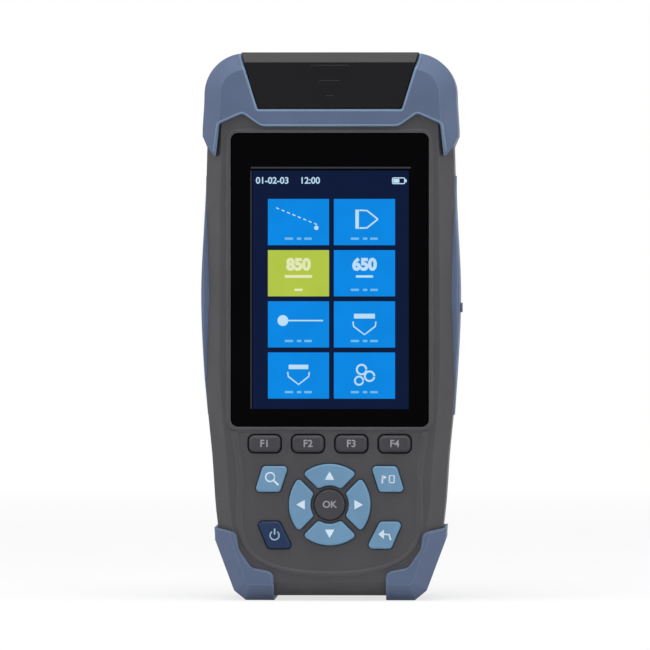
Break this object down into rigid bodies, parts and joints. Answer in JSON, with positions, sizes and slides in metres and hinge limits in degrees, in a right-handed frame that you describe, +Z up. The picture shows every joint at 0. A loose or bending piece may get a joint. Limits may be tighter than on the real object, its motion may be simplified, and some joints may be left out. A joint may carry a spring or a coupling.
{
  "type": "handheld optical fibre tester",
  "caption": "Handheld optical fibre tester with a colour display, keypad, soft corner bumpers, hinged dust cover over the optical ports, side port cover and kickstand.",
  "frame": {"origin": "on the ground under the middle of the case, between the two lower bumpers it stands on", "axes": "+Z up the length of the case, the display faces -Y, +X is to the right of someone looking at the display"},
  "size_m": [0.0821, 0.0421, 0.1722],
  "materials": {
    "case_plastic": "fine matt texture",
    "bumper_rubber": "satin soft moulding",
    "window_gloss": "gloss",
    "display_glass": "gloss",
    "bracket_steel": "brushed",
    "cable_amber": "satin",
    "board_green": "satin",
    "connector_black": "matt",
    "dome_metal": "satin",
    "membrane_silicone": "matt",
    "module_aluminium": "satin",
    "plate_aluminium": "black anodised",
    "adapter_nickel": "satin nickel",
    "sleeve_ceramic": "polished",
    "battery_wrap": "shrink wrap",
    "cover_black": "satin",
    "key_dark": "satin",
    "key_blue": "satin",
    "key_navy": "satin"
  },
  "bodies": {
    "housing": {"front_shell": "case_plastic", "rear_shell": "case_plastic", "top_bumper": "bumper_rubber", "left_grip": "bumper_rubber", "right_grip": "bumper_rubber", "lower_left_bumper": "bumper_rubber", "lower_right_bumper": "bumper_rubber", "screen_window": "window_gloss", "display_module": "display_glass", "display_bracket": "bracket_steel", "display_cable": "cable_amber", "board_screws": "bracket_steel", "main_board": "board_green", "keypad_board": "board_green", "board_connector": "connector_black", "dome_switches": "dome_metal", "keypad_membrane": "membrane_silicone", "optical_module": "module_aluminium", "buzzer": "connector_black", "port_plate": "plate_aluminium", "reflectometer_adapter": "adapter_nickel", "reflectometer_sleeve": "sleeve_ceramic", "power_meter_adapter": "adapter_nickel", "fault_locator_adapter": "adapter_nickel", "lower_network_socket": "bracket_steel", "upper_network_socket": "bracket_steel", "charging_socket": "bracket_steel", "battery_pack": "battery_wrap", "battery_door": "case_plastic", "battery_door_screws": "bracket_steel", "case_screws": "bracket_steel", "port_plate_screws": "bracket_steel", "dust_cover_pin": "bracket_steel", "kickstand_pin": "bracket_steel"},
    "dust_cover": {"dust_cover": "cover_black"},
    "side_port_cover": {"side_port_cover": "bumper_rubber"},
    "kickstand": {"kickstand": "case_plastic"},
    "f1_key": {"f1_key": "key_dark"},
    "f2_key": {"f2_key": "key_dark"},
    "f3_key": {"f3_key": "key_dark"},
    "f4_key": {"f4_key": "key_dark"},
    "zoom_key": {"zoom_key": "key_blue"},
    "file_key": {"file_key": "key_blue"},
    "power_key": {"power_key": "key_navy"},
    "back_key": {"back_key": "key_blue"},
    "up_key": {"up_key": "key_blue"},
    "down_key": {"down_key": "key_blue"},
    "left_key": {"left_key": "key_blue"},
    "right_key": {"right_key": "key_blue"},
    "ok_key": {"ok_key": "key_dark"}
  },
  "joints": [
    {"name": "dust_cover_hinge", "type": "hinge", "parent": "housing", "child": "dust_cover", "pos_m": [0, 0.0164, 0.1676], "axis": [-1, 0, 0], "range_deg": [0, 105]},
    {"name": "side_port_cover_hinge", "type": "hinge", "parent": "housing", "child": "side_port_cover", "pos_m": [0.0407, 0.0118, 0.092], "axis": [0, 0, 1], "range_deg": [0, 110]},
    {"name": "kickstand_hinge", "type": "hinge", "parent": "housing", "child": "kickstand", "pos_m": [0, 0.0178, 0.106], "axis": [1, 0, 0], "range_deg": [0, 45]},
    {"name": "f1_key_press", "type": "slide", "parent": "housing", "child": "f1_key", "axis": [0, 1, 0], "range_m": [0, 0.0008], "stiffness_N_per_m": 1000, "springref_m": -0.0004},
    {"name": "f2_key_press", "type": "slide", "parent": "housing", "child": "f2_key", "axis": [0, 1, 0], "range_m": [0, 0.0008], "stiffness_N_per_m": 1000, "springref_m": -0.0004},
    {"name": "f3_key_press", "type": "slide", "parent": "housing", "child": "f3_key", "axis": [0, 1, 0], "range_m": [0, 0.0008], "stiffness_N_per_m": 1000, "springref_m": -0.0004},
    {"name": "f4_key_press", "type": "slide", "parent": "housing", "child": "f4_key", "axis": [0, 1, 0], "range_m": [0, 0.0008], "stiffness_N_per_m": 1000, "springref_m": -0.0004},
    {"name": "zoom_key_press", "type": "slide", "parent": "housing", "child": "zoom_key", "axis": [0, 1, 0], "range_m": [0, 0.0008], "stiffness_N_per_m": 1000, "springref_m": -0.0004},
    {"name": "file_key_press", "type": "slide", "parent": "housing", "child": "file_key", "axis": [0, 1, 0], "range_m": [0, 0.0008], "stiffness_N_per_m": 1000, "springref_m": -0.0004},
    {"name": "power_key_press", "type": "slide", "parent": "housing", "child": "power_key", "axis": [0, 1, 0], "range_m": [0, 0.0008], "stiffness_N_per_m": 1000, "springref_m": -0.0004},
    {"name": "back_key_press", "type": "slide", "parent": "housing", "child": "back_key", "axis": [0, 1, 0], "range_m": [0, 0.0008], "stiffness_N_per_m": 1000, "springref_m": -0.0004},
    {"name": "up_key_press", "type": "slide", "parent": "housing", "child": "up_key", "axis": [0, 1, 0], "range_m": [0, 0.0008], "stiffness_N_per_m": 1000, "springref_m": -0.0004},
    {"name": "down_key_press", "type": "slide", "parent": "housing", "child": "down_key", "axis": [0, 1, 0], "range_m": [0, 0.0008], "stiffness_N_per_m": 1000, "springref_m": -0.0004},
    {"name": "left_key_press", "type": "slide", "parent": "housing", "child": "left_key", "axis": [0, 1, 0], "range_m": [0, 0.0008], "stiffness_N_per_m": 1000, "springref_m": -0.0004},
    {"name": "right_key_press", "type": "slide", "parent": "housing", "child": "right_key", "axis": [0, 1, 0], "range_m": [0, 0.0008], "stiffness_N_per_m": 1000, "springref_m": -0.0004},
    {"name": "ok_key_press", "type": "slide", "parent": "housing", "child": "ok_key", "axis": [0, 1, 0], "range_m": [0, 0.0008], "stiffness_N_per_m": 1000, "springref_m": -0.0004}
  ]
}
